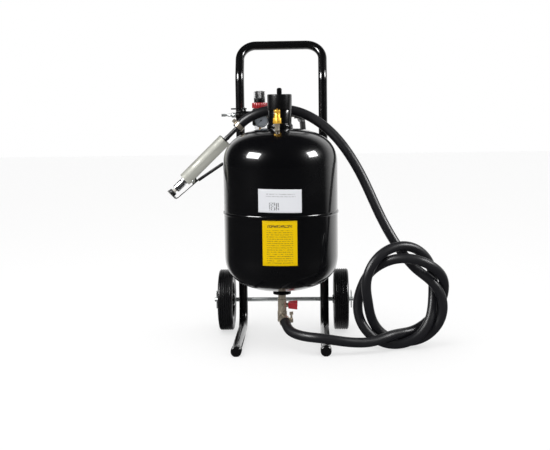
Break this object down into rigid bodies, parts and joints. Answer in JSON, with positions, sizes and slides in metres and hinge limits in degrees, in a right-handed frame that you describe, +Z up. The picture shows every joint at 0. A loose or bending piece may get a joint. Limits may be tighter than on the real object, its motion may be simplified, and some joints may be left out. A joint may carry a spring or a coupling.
{
  "type": "pressure pot abrasive blaster",
  "caption": "Upright pressure pot on a two-wheel trolley with a filler cap, regulator, safety valve, outlet valve, coiled blast hose and a lever-operated blast gun.",
  "frame": {"origin": "on the floor, at the middle of the footprint of everything but the blast hose", "axes": "+Z up, -Y towards the labelled front of the tank, +X to the right as seen from that front"},
  "size_m": [0.7573, 0.4135, 0.826],
  "materials": {
    "gloss_black_paint": "gloss black paint",
    "frame_paint": "satin black powder coat",
    "black_moulding": "gloss black moulding",
    "black_pipe": "black oxide",
    "black_rubber": "smooth black rubber",
    "tyre_rubber": "solid black rubber with grooves",
    "zinc": "zinc plate",
    "nickel": "warm nickel plate",
    "brass": "bright brass",
    "cast_grey": "matt cast grey",
    "bright_aluminium": "turned bright",
    "ceramic": "unglazed ceramic",
    "red_moulding": "red moulding",
    "white_label": "printed film",
    "yellow_label": "printed film",
    "dial_white": "printed card",
    "clear": "clear moulding"
  },
  "bodies": {
    "root": {"tank_upper_shell": "gloss_black_paint", "tank_lower_shell": "gloss_black_paint", "girth_band": "gloss_black_paint", "outlet_boss": "gloss_black_paint", "lower_cross_bar": "gloss_black_paint", "upper_cross_bar": "gloss_black_paint", "filler_neck": "gloss_black_paint", "frame_tube": "frame_paint", "left_foot_cap": "black_moulding", "right_foot_cap": "black_moulding", "inlet_valve_body": "black_moulding", "regulator_body": "black_moulding", "gauge_case": "black_moulding", "bypass_elbow": "black_moulding", "gun_pipe": "black_pipe", "bypass_hose": "black_rubber", "blast_hose": "black_rubber", "axle": "zinc", "left_inner_washer": "zinc", "left_outer_washer": "zinc", "right_inner_washer": "zinc", "right_outer_washer": "zinc", "left_hairpin": "zinc", "right_hairpin": "zinc", "inlet_plug": "zinc", "lever_pin": "zinc", "lever_spring": "zinc", "outlet_nipple": "nickel", "outlet_valve_body": "nickel", "mixing_tee": "nickel", "tee_hose_clamp": "nickel", "gun_hose_clamp": "nickel", "air_manifold": "nickel", "safety_valve_body": "brass", "filter_drain": "brass", "gun_grip": "cast_grey", "nozzle_holder": "bright_aluminium", "nozzle": "ceramic", "regulator_ring": "red_moulding", "data_label": "white_label", "caution_label": "yellow_label", "gauge_dial": "dial_white", "gauge_lens": "clear", "filter_bowl": "clear"},
    "left_wheel": {"left_tyre": "tyre_rubber", "left_rim": "black_moulding"},
    "right_wheel": {"right_tyre": "tyre_rubber", "right_rim": "black_moulding"},
    "gun_lever": {"gun_lever": "zinc", "shutoff_pad": "black_rubber"},
    "outlet_valve_spindle": {"outlet_valve_ball": "zinc", "outlet_valve_handle": "red_moulding", "handle_nut": "zinc"},
    "inlet_valve_spindle": {"inlet_valve_ball": "zinc", "inlet_valve_lever": "black_moulding"},
    "regulator_knob": {"regulator_knob": "black_moulding"},
    "gauge_needle": {"gauge_needle": "black_moulding"},
    "safety_valve_stem": {"safety_valve_stem": "brass"},
    "filler_cap": {"filler_cap": "black_moulding", "cap_seal": "black_rubber"}
  },
  "joints": [
    {"name": "left_wheel_spin", "type": "hinge", "parent": "root", "child": "left_wheel", "pos_m": [-0.1087, 0.1193, 0.0875], "axis": [1, 0, 0], "continuous": true},
    {"name": "right_wheel_spin", "type": "hinge", "parent": "root", "child": "right_wheel", "pos_m": [0.2203, 0.1193, 0.0875], "axis": [1, 0, 0], "continuous": true},
    {"name": "gun_lever_squeeze", "type": "hinge", "parent": "root", "child": "gun_lever", "pos_m": [-0.18321, -0.0012, 0.44388], "axis": [0, -1, 0], "range_deg": [0, 10], "stiffness_Nm_per_rad": 2, "springref_deg": -11.46},
    {"name": "outlet_valve_turn", "type": "hinge", "parent": "root", "child": "outlet_valve_spindle", "pos_m": [0.0558, -0.0512, 0.1055], "axis": [1, 0, 0], "range_deg": [0, 90]},
    {"name": "inlet_valve_turn", "type": "hinge", "parent": "root", "child": "inlet_valve_spindle", "pos_m": [-0.0454, 0.0488, 0.62], "axis": [0, 0, -1], "range_deg": [0, 90]},
    {"name": "regulator_knob_turn", "type": "hinge", "parent": "root", "child": "regulator_knob", "pos_m": [-0.0022, 0.0488, 0.66], "axis": [0, 0, 1], "range_deg": [-540, 540]},
    {"name": "gauge_needle_turn", "type": "hinge", "parent": "root", "child": "gauge_needle", "pos_m": [0.0028, 0.0258, 0.605], "axis": [0, 1, 0], "range_deg": [0, 270]},
    {"name": "safety_valve_pull", "type": "slide", "parent": "root", "child": "safety_valve_stem", "axis": [0, 0, 1], "range_m": [0, 0.003], "stiffness_N_per_m": 2000, "springref_m": -0.002},
    {"name": "filler_cap_lift", "type": "slide", "parent": "root", "child": "filler_cap", "axis": [0, 0, 1], "range_m": [0, 0.06]}
  ]
}
